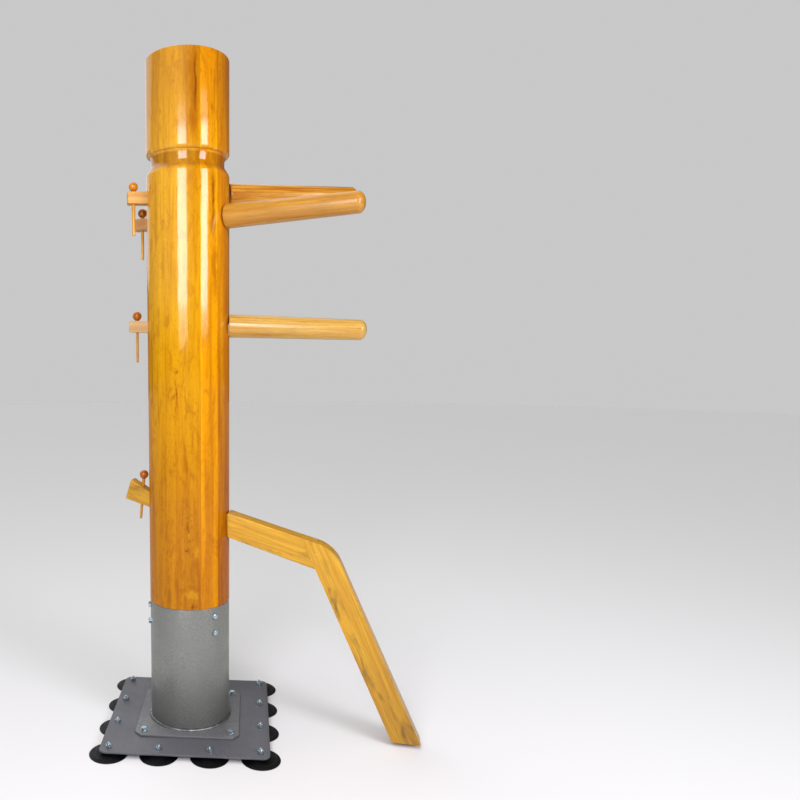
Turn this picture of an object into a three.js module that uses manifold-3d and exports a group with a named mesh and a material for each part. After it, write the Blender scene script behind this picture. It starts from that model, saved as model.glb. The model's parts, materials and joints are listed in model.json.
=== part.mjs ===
// Wooden wing dummy, free-standing: a turned trunk with a necked head, three tapered arms and a bent
// leg held in through mortises by ball-headed pegs, on a steel socket bolted to a plate of suction cups.
// Millimetres, +Z up, the arms point along +X. The dummy's own left side is +Y.
import * as THREE from "three";
import { mergeVertices } from "three/addons/utils/BufferGeometryUtils.js";
import Module from "manifold-3d";

const wasm = await Module();
wasm.setup();

// ---- Driving dimensions ----
const GAP = 0.3; // left between pieces that touch

// Turned trunk
const TRUNK_RADIUS = 102;
const TRUNK_TOP = 1658;
const TRUNK_LENGTH = 1500; // spigot included
const HEAD_EDGE = 5; // rounding of the head's top edge
const NECK_RADIUS = 89.5;
const SHOULDER = 1384; // the crease where the body ends and the shoulder slopes in to the neck
const NECK = 1406; // the neck's narrowest height, where its cove begins
const LIP = 1431; // the crease between the cove and the head's rounded lower edge
const LIP_RADIUS = 93.5;
const SPIGOT_CHAMFER = 4;

// Steel socket
const TUBE_RADIUS = 101.5;
const TUBE_WALL = 5;
const TUBE_TOP = 329;
const FLANGE_WIDTH = 258;
const FLANGE_CORNER = 17;
const FLANGE_THICKNESS = 5;
const WELD_SIZE = 5.5;
const SOCKET_BOLT_COLUMNS = [
  { angle: -44.7, drop: 22 },
  { angle: 77.4, drop: 19 },
  { angle: 197.4, drop: 13 },
]; // drop is the upper bolt's below the tube's rim
const SOCKET_BOLT_PITCH = 42; // from a column's upper bolt to its lower one
const SOCKET_BOLT_LENGTH = 45;

// Base plate and suction cups
const BASE_TURN = 3.5; // degrees that the plate stands turned from the arms' direction
const PLATE_WIDTH = 408;
const PLATE_CORNER = 18;
const PLATE_THICKNESS = 5;
const PLATE_BOTTOM = 11;
const CUP_RADIUS = 47;
const CUP_RIM = 1.8; // thickness of its edge
const CUP_HOLLOW = 3; // height of the hollow below its middle
const CUP_BOSS_RADIUS = 15;
const STUD_FOOT = 5.8; // height of the stud's end, in the boss
const CUP_SPAN = 364; // between the centres of the corner cups
const CUPS_PER_SIDE = 4;
const FLANGE_BOLT_SPAN = 214;

// M8 fasteners
const BOLT_RADIUS = 4;
const HOLE_RADIUS = BOLT_RADIUS + GAP;
const HEX_ACROSS_FLATS = 13;
const HEX_HEAD_HEIGHT = 5.5;
const NUT_HEIGHT = 6.5;
const WASHER_RADIUS = 9;
const WASHER_THICKNESS = 1.6;
const STUD_ABOVE_NUT = 5;

// Arms: round and tapered outside the trunk, with a square tenon through it
const ARM_REACH = 435; // from the trunk's axis to the tip
const ARM_ROOT_RADIUS = 29;
const ARM_TIP_RADIUS = 24.5;
const ARM_ROOT_CHAMFER = 2;
const ARM_TIP_ROUNDING = 16;
const TENON_WIDTH = 30;
const TENON_HEIGHT = 28.5;
const TENON_BACK = 149; // from the trunk's axis to the tenon's end
const TENON_ROOT = 5; // of the tenon, inside the arm's round part
const LIMB_SHOULDER = TRUNK_RADIUS + 1.3;
const MORTISE_SIDE = 0.6; // room beside a tenon
const MORTISE_HEAD = 1.5; // room above a tenon
// angle and rise point the arm; height is its tenon's where it crosses the trunk's axis, and lift is how
// far the round part's axis lies above the tenon's. The peg stands pegBack behind the trunk's axis, with
// its ball pegGap above the tenon.
const ARMS = [
  {
    side: "upper_right",
    angle: -16.9,
    rise: 0.6,
    height: 1283,
    lift: 0,
    pegBack: 128,
    pegGap: 4,
    pegRadius: 4.1,
  },
  {
    side: "upper_left",
    angle: 17,
    rise: 0.9,
    height: 1334,
    lift: 10,
    pegBack: 134,
    pegGap: 2,
    pegRadius: 4.7,
  },
  {
    side: "middle",
    angle: 0,
    rise: -2.5,
    height: 1018.5,
    lift: 10,
    pegBack: 131,
    pegGap: 1,
    pegRadius: 3.8,
  },
];

// Leg: a sloping thigh and a steeper shin, cut from board
const LEG_ANGLE = -5.1;
const LEG_UNDERSIDE = 530; // height of the thigh's underside, carried on to the trunk's axis
const THIGH_SLOPE = 17.5; // degrees down
const THIGH_ROOT_WIDTH = 59;
const THIGH_KNEE_WIDTH = 63;
const LEG_THICKNESS = 46;
const KNEE_REACH = 321; // the inner corner of the knee, from the trunk's axis
const SHIN_LEAN = 24.2; // degrees from upright
const SHIN_WIDTH = 62;
const KNEE_ROUNDING = 90;
const FOOT_CLEARANCE = 10;
const LEG_TENON_WIDTH = 34;
const LEG_TENON_HEIGHT = 52;
const LEG_TENON_STEP = 2; // above the thigh's underside
const LEG_TENON_BACK = 166;
const LEG_TENON_ROOT = 20; // of the tenon, inside the thigh
const LEG_NOTCH_LENGTH = 60; // of the slope cut in the tenon's top, up to the trunk
const LEG_NOTCH_DEPTH = 15;
const TONGUE_LENGTH = 34; // of the thigh inside the shin
const TONGUE_ROOT = 20; // of the tongue, inside the thigh
const TONGUE_HEIGHT = 30;
const TONGUE_THICKNESS = 15;
const DOWEL_RADIUS = 4;
const DOWEL_INSET = 19.5; // in front of the middle of the knee joint

// Pegs
const PEG_BALL_RADIUS = 11.3;
const PEG_TAPER = 0.7; // the shaft's radius is this much less at its tip
const PEG_LENGTH = 128; // the ball included
const PEG_TIP_CHAMFER = 1;
const LEG_PEG_RADIUS = 4.1;
const LEG_PEG_BACK = 121;
const LEG_PEG_HEIGHT = 635; // of its ball's foot
const LEG_PEG_LEAN = 5; // degrees, its ball towards the trunk

// Facets
const ROUND = 48;
const ARM_ROUND = 24;
const SMALL_ROUND = 10;
const CUP_ROUND = 20;
const PEG_ROUND = 12;

const PLATE_TOP = PLATE_BOTTOM + PLATE_THICKNESS;
const FLANGE_TOP = PLATE_TOP + GAP + FLANGE_THICKNESS;
const TUBE_BOTTOM = FLANGE_TOP + GAP;
const SPIGOT_RADIUS = TUBE_RADIUS - TUBE_WALL - 0.5;
const PEG_ROOM = 0.4; // round a peg's shaft

const radians = THREE.MathUtils.degToRad;
const at = (x, y) => new THREE.Vector2(x, y);

// ---- Solids ----
function solid(geometry) {
  const bare = geometry.clone();
  bare.deleteAttribute("normal");
  bare.deleteAttribute("uv");
  const merged = mergeVertices(bare, 1e-4);
  return new wasm.Manifold(
    new wasm.Mesh({
      numProp: 3,
      vertProperties: new Float32Array(merged.attributes.position.array),
      triVerts: new Uint32Array(merged.index.array),
    }),
  );
}

function geometryOf(body) {
  const { vertProperties, triVerts } = body.getMesh();
  const geometry = new THREE.BufferGeometry();
  geometry.setAttribute("position", new THREE.BufferAttribute(vertProperties, 3));
  geometry.setIndex(new THREE.BufferAttribute(triVerts, 1));
  geometry.computeVertexNormals();
  return geometry;
}

const joined = (...pieces) => geometryOf(pieces.map(solid).reduce((a, b) => a.add(b)));
const cut = (whole, ...cutters) =>
  geometryOf(cutters.map(solid).reduce((a, b) => a.subtract(b), solid(whole)));

// A turned piece about Z from a profile of (radius, height) points.
const turned = (profile, facets) => new THREE.LatheGeometry(profile, facets).rotateX(Math.PI / 2);

function cylinder(radius, low, high, facets = SMALL_ROUND) {
  return turned([at(0, low), at(radius, low), at(radius, high), at(0, high)], facets);
}

function ring(inner, outer, low, high, facets) {
  const corners = [at(inner, low), at(outer, low), at(outer, high), at(inner, high), at(inner, low)];
  return turned(corners, facets);
}

function box(x0, x1, width, z0, z1) {
  return new THREE.BoxGeometry(x1 - x0, width, z1 - z0).translate((x0 + x1) / 2, 0, (z0 + z1) / 2);
}

// A flat plate of the outline's shape lying from low to high.
function plate(outline, low, high) {
  const flat = { depth: high - low, bevelEnabled: false, curveSegments: 4 };
  return new THREE.ExtrudeGeometry(outline, flat).translate(0, 0, low);
}

// A board of the outline's shape, drawn in reach and height, centred on the upright plane y = 0.
function board(outline, thickness) {
  const flat = { depth: thickness, bevelEnabled: false, curveSegments: 10 };
  return new THREE.ExtrudeGeometry(outline, flat).rotateX(Math.PI / 2).translate(0, thickness / 2, 0);
}

const hexagon = (low, high) =>
  cylinder(HEX_ACROSS_FLATS / 2 / Math.cos(Math.PI / 6), low, high, 6);

// Points on an ellipse about (x, y), from one angle to another in degrees.
function arc(x, y, width, height, from, to, steps = 4) {
  return Array.from({ length: steps + 1 }, (_, i) => {
    const angle = radians(from + ((to - from) * i) / steps);
    return at(x + width * Math.cos(angle), y + height * Math.sin(angle));
  });
}

// ---- Materials ----
const finish = (color, roughness, metalness = 0) => () =>
  new THREE.MeshStandardMaterial({ color, roughness, metalness });
const VARNISHED_WOOD = finish(0xdda034, 0.25);
const ARM_WOOD = finish(0xe3ad66, 0.45);
const LEG_WOOD = finish(0xdba850, 0.45);
const PEG_WOOD = finish(0xc87a2c, 0.35);
const DOWEL_WOOD = finish(0xe6c083, 0.55);
const SOCKET_PAINT = finish(0x8f8f8d, 0.4, 0.6);
const PLATE_PAINT = finish(0x716f76, 0.5, 0.5);
const WELD_METAL = finish(0xb4b4b2, 0.45, 0.8);
const ZINC = finish(0xc3ccd0, 0.3, 0.9);
const RUBBER = finish(0x1c1b1d, 0.7);

const dummy = new THREE.Group(); // its origin is on the floor, on the trunk's axis

function piece(parent, name, geometry, material) {
  const mesh = new THREE.Mesh(geometry, material());
  mesh.name = name;
  parent.add(mesh);
  return mesh;
}

function group(parent, x, y, z) {
  const made = new THREE.Group();
  made.position.set(x, y, z);
  parent.add(made);
  return made;
}

// ---- Limbs ----
// A frame on the trunk's axis whose +X runs out along a limb: turned about Z, then tipped up.
function limbFrame(angle, rise, height) {
  const frame = group(dummy, 0, 0, height);
  frame.rotation.set(0, -radians(rise), radians(angle), "ZYX");
  frame.updateMatrix();
  return frame;
}

function pegHole(frame, radius) {
  return cylinder(radius + PEG_ROOM, -TENON_BACK, TENON_BACK).applyMatrix4(frame.matrix);
}

// A turned peg: a ball, and a shaft that tapers a little to its tip. Its ball's foot is at z = 0.
function peg(radius) {
  const tip = 2 * PEG_BALL_RADIUS - PEG_LENGTH;
  const end = radius - PEG_TAPER;
  const ball = arc(0, PEG_BALL_RADIUS, PEG_BALL_RADIUS, PEG_BALL_RADIUS, -66, 90, 6);
  ball[ball.length - 1].x = 0;
  const foot = [at(0, tip), at(end - PEG_TIP_CHAMFER, tip), at(end, tip + PEG_TIP_CHAMFER)];
  return turned([...foot, at(radius, 0), ...ball], PEG_ROUND);
}

function arm(lift, pegCutter) {
  const tip = arc(ARM_REACH - ARM_TIP_ROUNDING, 0, ARM_TIP_ROUNDING, ARM_TIP_RADIUS, 90, 0, 6);
  const profile = tip.map((p) => at(p.y, p.x));
  profile[profile.length - 1].x = 0;
  const root = [at(0, LIMB_SHOULDER), at(ARM_ROOT_RADIUS - ARM_ROOT_CHAMFER, LIMB_SHOULDER)];
  root.push(at(ARM_ROOT_RADIUS, LIMB_SHOULDER + ARM_ROOT_CHAMFER));
  const round = new THREE.LatheGeometry([...root, ...profile], ARM_ROUND).rotateZ(-Math.PI / 2);
  const half = TENON_HEIGHT / 2;
  const tenon = box(-TENON_BACK, LIMB_SHOULDER + TENON_ROOT, TENON_WIDTH, -half, half);
  return cut(joined(round.translate(0, 0, lift), tenon), pegCutter);
}

// The mortise for a tenon of this width and height: it rests on the floor, with room above and beside.
function mortise(frame, width, height) {
  const low = -height / 2 - GAP;
  const high = height / 2 + MORTISE_HEAD;
  const reach = 1.3 * TRUNK_RADIUS;
  return box(-reach, reach, width + 2 * MORTISE_SIDE, low, high).applyMatrix4(frame.matrix);
}

const mortises = [];
for (const { side, angle, rise, height, lift, pegBack, pegGap, pegRadius } of ARMS) {
  const limb = limbFrame(angle, rise, height);
  const pegPlace = group(limb, -pegBack, 0, 0);
  pegPlace.rotation.y = radians(rise); // its peg stands upright
  pegPlace.updateMatrix();
  piece(limb, "arm_" + side, arm(lift, pegHole(pegPlace, pegRadius)), ARM_WOOD);
  const armPeg = piece(pegPlace, "peg_" + side, peg(pegRadius), PEG_WOOD);
  armPeg.position.z = TENON_HEIGHT / 2 + pegGap;
  mortises.push(mortise(limb, TENON_WIDTH, TENON_HEIGHT));
}

// The leg's outline is drawn in its own upright plane: x is the reach, y the height.
const slope = Math.tan(radians(THIGH_SLOPE));
const upright = (width) => width / Math.cos(radians(THIGH_SLOPE)); // a thigh's width measured upright
const underside = (reach) => LEG_UNDERSIDE - reach * slope;
function topside(reach) {
  const share = (reach - TRUNK_RADIUS) / (KNEE_REACH - TRUNK_RADIUS);
  return underside(reach) + upright(THREE.MathUtils.lerp(THIGH_ROOT_WIDTH, THIGH_KNEE_WIDTH, share));
}
const innerKnee = at(KNEE_REACH, underside(KNEE_REACH));
const shinWay = at(Math.sin(radians(SHIN_LEAN)), -Math.cos(radians(SHIN_LEAN))); // down the shin
const shinFront = at(-shinWay.y, shinWay.x); // square to it, towards the toe
const alongShin = (distance, forward) =>
  innerKnee.clone().addScaledVector(shinWay, distance).addScaledVector(shinFront, forward);

// How far up the shin's line, at this distance in front of it, the thigh's top edge is crossed.
function topCrossing(forward) {
  let up = 0;
  for (let i = 0; i < 30; i += 1) {
    const point = alongShin(-up, forward);
    up += topside(point.x) - point.y;
  }
  return alongShin(-up, forward);
}

function thighOutline() {
  const top = topCrossing(-GAP);
  const foot = alongShin(0, -GAP);
  return new THREE.Shape([
    at(LIMB_SHOULDER, underside(LIMB_SHOULDER)),
    at(foot.x, foot.y),
    at(top.x, top.y),
    at(LIMB_SHOULDER, topside(LIMB_SHOULDER)),
  ]);
}

// The board of the shin: heel, toe, up its front, round the knee, and down its back past the joint.
function shinOutline() {
  const down = (innerKnee.y - FOOT_CLEARANCE) / -shinWay.y;
  const toeDrop = (SHIN_WIDTH * shinFront.y) / -shinWay.y;
  const heel = alongShin(down, 0);
  const toe = alongShin(down + toeDrop, SHIN_WIDTH);
  const back = topCrossing(0);
  const corner = topCrossing(SHIN_WIDTH);
  const thighWay = corner.clone().sub(back).normalize();
  const turn = Math.acos(thighWay.dot(shinWay));
  const start = corner.clone().addScaledVector(shinWay, KNEE_ROUNDING * Math.tan(turn / 2));
  const centre = start.clone().addScaledVector(shinFront, -KNEE_ROUNDING);
  const from = Math.atan2(shinFront.y, shinFront.x);
  const shape = new THREE.Shape();
  shape.moveTo(heel.x, heel.y);
  shape.lineTo(toe.x, toe.y);
  shape.lineTo(start.x, start.y);
  shape.absarc(centre.x, centre.y, KNEE_ROUNDING, from, from + turn, false);
  shape.lineTo(back.x, back.y);
  return shape;
}

const leg = group(dummy, 0, 0, 0);
leg.rotation.z = radians(LEG_ANGLE);
const legTenonHeight = LEG_UNDERSIDE + upright(LEG_TENON_STEP + LEG_TENON_HEIGHT / 2);
const thighFrame = limbFrame(LEG_ANGLE, -THIGH_SLOPE, legTenonHeight);
mortises.push(mortise(thighFrame, LEG_TENON_WIDTH, LEG_TENON_HEIGHT));

// The knee's hidden tongue lies along the thigh, halfway up the joint.
const kneeJoint = innerKnee.clone().lerp(topCrossing(0), 0.5);
function tongue(room) {
  const half = TONGUE_HEIGHT / 2 + room;
  return box(-TONGUE_ROOT, TONGUE_LENGTH + room, TONGUE_THICKNESS + 2 * room, -half, half)
    .rotateY(radians(THIGH_SLOPE))
    .translate(kneeJoint.x, 0, kneeJoint.y);
}
const dowelPlace = at(kneeJoint.x + DOWEL_INSET, kneeJoint.y);
const dowel = (radius, length) =>
  cylinder(radius, -length / 2, length / 2).rotateX(Math.PI / 2).translate(dowelPlace.x, 0, dowelPlace.y);
const dowelHole = dowel(DOWEL_RADIUS + GAP, 2 * LEG_THICKNESS);

// The tenon's outline lies along the thigh, its top sloping down towards the trunk where the peg stands.
function legTenon() {
  const half = LEG_TENON_HEIGHT / 2;
  const notchEnd = LEG_NOTCH_LENGTH - LEG_TENON_BACK;
  const outline = new THREE.Shape([
    at(-LEG_TENON_BACK, -half),
    at(LIMB_SHOULDER + LEG_TENON_ROOT, -half),
    at(LIMB_SHOULDER + LEG_TENON_ROOT, half),
    at(notchEnd, half),
    at(notchEnd, half - LEG_NOTCH_DEPTH),
    at(-LEG_TENON_BACK, half),
  ]);
  return board(outline, LEG_TENON_WIDTH).rotateY(radians(THIGH_SLOPE)).translate(0, 0, legTenonHeight);
}

function thigh(pegCutter) {
  return cut(joined(board(thighOutline(), LEG_THICKNESS), legTenon(), tongue(0)), pegCutter, dowelHole);
}

const legPegPlace = group(leg, -LEG_PEG_BACK, 0, LEG_PEG_HEIGHT);
legPegPlace.rotation.y = radians(LEG_PEG_LEAN);
legPegPlace.updateMatrix();
piece(leg, "leg_thigh", thigh(pegHole(legPegPlace, LEG_PEG_RADIUS)), LEG_WOOD);
piece(leg, "leg_shin", cut(board(shinOutline(), LEG_THICKNESS), tongue(GAP), dowelHole), LEG_WOOD);
piece(leg, "knee_dowel", dowel(DOWEL_RADIUS, LEG_THICKNESS), DOWEL_WOOD);
piece(legPegPlace, "peg_leg", peg(LEG_PEG_RADIUS), PEG_WOOD);

// ---- Trunk ----
function socketBoltPlaces() {
  return SOCKET_BOLT_COLUMNS.flatMap(({ angle, drop }, column) =>
    [0, 1].map((row) => ({ angle, height: TUBE_TOP - drop - row * SOCKET_BOLT_PITCH, column, row })),
  );
}

// Turns a piece made along +Z so that it points out of the tube, at this angle and height.
function outward(geometry, angle, height) {
  return geometry.rotateY(Math.PI / 2).rotateZ(radians(angle)).translate(0, 0, height);
}

function trunk() {
  const bottom = TRUNK_TOP - TRUNK_LENGTH;
  const lipRounding = TRUNK_RADIUS - LIP_RADIUS;
  const profile = [
    at(0, bottom),
    at(SPIGOT_RADIUS - SPIGOT_CHAMFER, bottom),
    at(SPIGOT_RADIUS, bottom + SPIGOT_CHAMFER),
    at(SPIGOT_RADIUS, TUBE_TOP + GAP),
    at(TRUNK_RADIUS, TUBE_TOP + GAP),
    at(TRUNK_RADIUS, SHOULDER),
    at(TRUNK_RADIUS - 1.5, SHOULDER + 4),
    at(NECK_RADIUS + 2, NECK - 4),
    ...arc(LIP_RADIUS, NECK, LIP_RADIUS - NECK_RADIUS, LIP - NECK, 180, 90),
    ...arc(LIP_RADIUS, LIP + lipRounding, lipRounding, lipRounding, -80, 0, 3),
    ...arc(TRUNK_RADIUS - HEAD_EDGE, TRUNK_TOP - HEAD_EDGE, HEAD_EDGE, HEAD_EDGE, 0, 90, 3),
    at(0, TRUNK_TOP),
  ];
  const holes = socketBoltPlaces().map(({ angle, height }) => {
    const deep = TUBE_RADIUS - SOCKET_BOLT_LENGTH - GAP;
    return outward(cylinder(HOLE_RADIUS, deep, TRUNK_RADIUS + 5), angle, height);
  });
  return cut(turned(profile, ROUND), ...mortises, ...holes);
}
piece(dummy, "trunk", trunk(), VARNISHED_WOOD);

// ---- Steel socket ----
function socketTube() {
  const holes = socketBoltPlaces().map(({ angle, height }) =>
    outward(cylinder(HOLE_RADIUS, TUBE_RADIUS / 2, TUBE_RADIUS + 5), angle, height),
  );
  return cut(ring(TUBE_RADIUS - TUBE_WALL, TUBE_RADIUS, TUBE_BOTTOM, TUBE_TOP, ROUND), ...holes);
}
piece(dummy, "socket_tube", socketTube(), SOCKET_PAINT);

function weldBead() {
  const inner = TUBE_RADIUS + GAP;
  const low = FLANGE_TOP + GAP;
  const bead = arc(inner, low, WELD_SIZE, WELD_SIZE, 0, 90, 3);
  return turned([at(inner, low), ...bead, at(inner, low)], ROUND);
}
piece(dummy, "weld_bead", weldBead(), WELD_METAL);

function headedBolt(headFoot, shankEnd) {
  const head = hexagon(headFoot, headFoot + HEX_HEAD_HEIGHT);
  return joined(head, cylinder(BOLT_RADIUS, shankEnd, headFoot + 1));
}
for (const { angle, height, column, row } of socketBoltPlaces()) {
  const headFoot = TUBE_RADIUS + GAP;
  const bolt = outward(headedBolt(headFoot, TUBE_RADIUS - SOCKET_BOLT_LENGTH), angle, height);
  piece(dummy, `socket_bolt_${column + 1}_${row ? "lower" : "upper"}`, bolt, ZINC);
}

// ---- Base: plate, flange, cups and their fasteners ----
const base = group(dummy, 0, 0, 0);
base.rotation.z = radians(BASE_TURN);

const cupStep = CUP_SPAN / (CUPS_PER_SIDE - 1);
const grid = Array.from({ length: CUPS_PER_SIDE }, (_, i) => i * cupStep - CUP_SPAN / 2);
const onRim = (value) => Math.abs(value) > CUP_SPAN / 2 - 1;
const cupPlaces = grid.flatMap((x) => grid.filter((y) => onRim(x) || onRim(y)).map((y) => at(x, y)));
const signs = [-1, 1];
const flangeBoltPlaces = signs.flatMap((sx) =>
  signs.map((sy) => at((sx * FLANGE_BOLT_SPAN) / 2, (sy * FLANGE_BOLT_SPAN) / 2)),
);

// A square outline with rounded or cut corners.
function square(width, corner, roundCorners) {
  const half = width / 2;
  const flat = half - corner;
  const shape = new THREE.Shape();
  shape.moveTo(flat, -half);
  for (let i = 0; i < 4; i += 1) {
    const turn = (i * Math.PI) / 2;
    const spun = (x, y) => at(x, y).rotateAround(at(0, 0), turn);
    const middle = spun(flat, -flat);
    const end = spun(half, -flat);
    const next = spun(half, flat);
    if (roundCorners) shape.absarc(middle.x, middle.y, corner, turn - Math.PI / 2, turn, false);
    else shape.lineTo(end.x, end.y);
    shape.lineTo(next.x, next.y);
  }
  return shape;
}

function withHoles(outline, places) {
  for (const { x, y } of places) {
    const last = 360 / SMALL_ROUND;
    const rim = arc(x, y, HOLE_RADIUS, HOLE_RADIUS, 360, last, SMALL_ROUND - 1);
    outline.holes.push(new THREE.Path(rim));
  }
  return outline;
}

const platePlaces = [...cupPlaces, ...flangeBoltPlaces];
const plateOutline = withHoles(square(PLATE_WIDTH, PLATE_CORNER, true), platePlaces);
piece(base, "base_plate", plate(plateOutline, PLATE_BOTTOM, PLATE_TOP), PLATE_PAINT);
const flangeOutline = withHoles(square(FLANGE_WIDTH, FLANGE_CORNER, false), flangeBoltPlaces);
piece(base, "socket_flange", plate(flangeOutline, PLATE_TOP + GAP, FLANGE_TOP), PLATE_PAINT);

// A squashed rubber cup, hollow below, with a boss that a stud is moulded into.
function suctionCup() {
  const top = PLATE_BOTTOM - GAP;
  const profile = [
    at(0, CUP_HOLLOW),
    at(CUP_RADIUS - 2.5, 0),
    at(CUP_RADIUS, 0),
    at(CUP_RADIUS, CUP_RIM),
    at(0.66 * CUP_RADIUS, 4.6),
    at(CUP_BOSS_RADIUS + 2, 8.2),
    at(CUP_BOSS_RADIUS, top),
    at(HOLE_RADIUS, top),
    at(HOLE_RADIUS, STUD_FOOT),
    at(0, STUD_FOOT),
  ];
  return turned(profile, CUP_ROUND);
}

function studWithNut() {
  const nutFoot = PLATE_TOP + GAP;
  const end = nutFoot + NUT_HEIGHT + STUD_ABOVE_NUT;
  return joined(hexagon(nutFoot, nutFoot + NUT_HEIGHT), cylinder(BOLT_RADIUS, STUD_FOOT + GAP, end));
}

cupPlaces.forEach(({ x, y }, i) => {
  const place = group(base, x, y, 0);
  piece(place, `suction_cup_${i + 1}`, suctionCup(), RUBBER);
  piece(place, `cup_stud_${i + 1}`, studWithNut(), ZINC);
});

flangeBoltPlaces.forEach(({ x, y }, i) => {
  const place = group(base, x, y, 0);
  const washerFoot = FLANGE_TOP + GAP;
  const washerTop = washerFoot + WASHER_THICKNESS;
  const nutTop = PLATE_BOTTOM - GAP;
  const washer = ring(HOLE_RADIUS, WASHER_RADIUS, washerFoot, washerTop, 2 * SMALL_ROUND);
  const nut = cut(hexagon(nutTop - NUT_HEIGHT, nutTop), cylinder(HOLE_RADIUS, 0, PLATE_TOP));
  piece(place, `flange_bolt_${i + 1}`, headedBolt(washerTop + GAP, nutTop - NUT_HEIGHT - 1), ZINC);
  piece(place, `flange_washer_${i + 1}`, washer, ZINC);
  piece(place, `flange_nut_${i + 1}`, nut, ZINC);
});

// ---- Frame: the origin is the middle of the whole dummy's box, on the floor ----
const part = new THREE.Group();
part.add(dummy);
part.updateMatrixWorld(true);
const middle = new THREE.Box3().setFromObject(dummy, true).getCenter(new THREE.Vector3());
dummy.position.set(-middle.x, -middle.y, 0);

export default part;
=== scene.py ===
# Looks of the wooden wing dummy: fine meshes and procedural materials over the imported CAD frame.
import json
from math import atan2, cos, pi, radians, sin, tan

import bmesh
import bpy
from mathutils import Matrix, Vector, noise


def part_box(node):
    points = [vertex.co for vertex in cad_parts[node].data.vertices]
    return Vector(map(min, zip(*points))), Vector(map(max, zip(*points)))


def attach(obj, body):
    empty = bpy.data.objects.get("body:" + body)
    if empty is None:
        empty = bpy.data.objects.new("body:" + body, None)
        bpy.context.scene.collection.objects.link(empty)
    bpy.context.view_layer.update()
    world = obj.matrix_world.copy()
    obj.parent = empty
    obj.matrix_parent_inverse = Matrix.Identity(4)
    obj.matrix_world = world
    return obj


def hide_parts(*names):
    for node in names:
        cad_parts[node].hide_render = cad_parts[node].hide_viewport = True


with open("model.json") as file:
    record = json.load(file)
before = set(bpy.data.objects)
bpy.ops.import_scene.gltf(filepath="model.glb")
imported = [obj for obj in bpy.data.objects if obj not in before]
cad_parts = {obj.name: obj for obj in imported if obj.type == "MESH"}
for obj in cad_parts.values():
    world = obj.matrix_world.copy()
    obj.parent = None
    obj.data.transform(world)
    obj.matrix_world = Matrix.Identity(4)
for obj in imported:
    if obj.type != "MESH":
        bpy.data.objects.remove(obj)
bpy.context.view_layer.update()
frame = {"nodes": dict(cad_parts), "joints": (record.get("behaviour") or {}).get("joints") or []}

scene = bpy.context.scene

MM = 0.001
STAND = "stand"
SIDES = ("upper_right", "upper_left", "middle")
GRAIN = "grain_place"  # the attribute that holds each point's place in its piece's own frame

# Shapes, in millimetres
NECK_RADIUS = 89.5
SHOULDER = 1384
NECK = 1406
LIP = 1431
LIP_RADIUS = 93.5
HEAD_EDGE = 5
SPIGOT_RADIUS = 96
SPIGOT_CHAMFER = 4
LIMB_SHOULDER = 103.3  # of an arm's round part, from the trunk's axis
TENON_WIDTH = 30
TENON_HEIGHT = 28.5
LEG_TENON_WIDTH = 34
LEG_TENON_HEIGHT = 52
TENON_EDGE = 2.4
MORTISE_SIDE = 0.6  # room round a tenon: beside, above and below it
MORTISE_HEAD = 1.5
MORTISE_FOOT = 0.3
MORTISE_REACH = 140  # past the trunk's surface on both sides
ARM_ROOT_RADIUS = 29
ARM_TIP_RADIUS = 24.5
ARM_TIP_ROUNDING = 16
PEG_BALL_RADIUS = 11.3
PEG_TAPER = 0.7  # how much wider the shaft is at the ball than at the tip
PEG_HOLE_ROOM = 1.1
PEG_HOLE_LOW = -160  # from the ball's foot
PEG_HOLE_HIGH = 60
LEG_EDGE = 3.5
DOWEL_ROOM = 0.15
TUBE_WALL = 5
WELD_SIZE = 5.5
PLATE_EDGE = 0.9
PLATE_CORNER = 18
FLANGE_CORNER = 17
HEX_ACROSS_FLATS = 13
HEX_FACE = 0.95  # the round face left by the chamfer, as a share of the width across flats
HEX_CHAMFER = 30  # degrees
BOLT_RADIUS = 4
THREAD_PITCH = 1.25
THREAD_DEPTH = 0.62
THREAD_CHAMFER = 0.9
NUT_HEIGHT = 6.5
SEAT = 0.3  # a stud's nut above the plate, and the trunk's shoulder above the pipe

# Turns, in radians
CUP_TURN = 1  # each from the one before it, so that no two show the same side
STUD_TURN = 2.4
WASHER_TURN = 1.1
SOCKET_BOLT_TURN = 0.7
UPPER_BOLT_TURN = 0.5  # more for the upper bolt of a pair

# How far one step of a seed moves a piece's grain, in metres
GRAIN_STEP_X = 0.31
GRAIN_STEP_Y = 0.17

# Staves of the trunk: five across its front, three deep
STAVE_WIDTH = 42
STAVE_DEPTH = 68
STAVE_JOINT = -14  # one joint, from the middle of the front
STAVE_SPAN = 240  # covers the five

# ---- Reading the CAD frame ----
UP = Vector((0, 0, 1))


def corners(node):
    return [v.co.copy() for v in frame["nodes"][node].data.vertices]


def joint_axis(name):
    return Vector(next(j["axis"] for j in frame["joints"] if j["name"] == name)).normalized()


def frame_of(x, y, z, origin):
    """A matrix whose axes are x, y and z, at origin."""
    return Matrix.Translation(origin) @ Matrix((x, y, z)).transposed().to_4x4()


def along(axis, origin):
    """A frame whose X runs along axis, with Y level."""
    y = UP.cross(axis).normalized()
    return frame_of(axis, y, axis.cross(y), origin)


def upright(axis, origin):
    """A frame whose Z runs along axis."""
    x = Vector((0, 1, 0)).cross(axis).normalized()
    return frame_of(x, axis.cross(x), axis, origin)


def extent(node, matrix, keep=lambda q: True):
    """The box, in matrix's frame, of those of a node's vertices that keep passes."""
    inverse = matrix.inverted()
    inside = [q for q in (inverse @ p for p in corners(node)) if keep(q)]
    return [Vector(f(q[i] for q in inside) for i in range(3)) for f in (min, max)]


def middle(node):
    low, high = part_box(node)
    return (low + high) / 2


def heights(node):
    """A node's lowest and highest height, in millimetres."""
    return [corner.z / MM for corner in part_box(node)]


def ground(point):
    """A point or a direction without its height."""
    return Vector((point.x, point.y, 0))


def turned(origin, turn):
    return Matrix.Translation(origin) @ Matrix.Rotation(turn, 4, "Z")


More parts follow.
